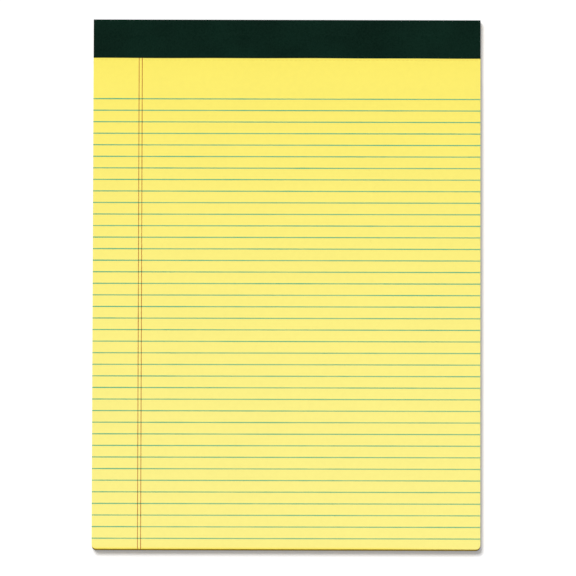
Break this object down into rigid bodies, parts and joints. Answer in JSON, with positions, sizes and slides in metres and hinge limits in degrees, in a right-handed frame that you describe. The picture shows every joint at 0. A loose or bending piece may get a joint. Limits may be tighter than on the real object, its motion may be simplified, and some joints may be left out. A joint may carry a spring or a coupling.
{
  "type": "writing pad",
  "caption": "Ruled writing pad of perforated canary sheets on a chipboard back, wire stitched at the head under a folded dark green binding tape, with ruled lines and margin lines.",
  "frame": {"origin": "middle of the back face that the pad rests on", "axes": "+X across the page to the reader's right, +Y along the page to the taped head, +Z out of the written side"},
  "size_m": [0.216, 0.2984, 0.0062],
  "materials": {
    "canary_paper": "uncoated",
    "chipboard": "raw",
    "green_binding": "embossed",
    "stitching_wire": "galvanised",
    "rule_ink": "printed",
    "margin_ink": "printed"
  },
  "bodies": {
    "root": {"sheet_block": "canary_paper", "backing_board": "chipboard", "binding_tape": "green_binding", "wire_stitches": "stitching_wire", "ruled_lines": "rule_ink", "margin_lines": "margin_ink"}
  },
  "joints": []
}
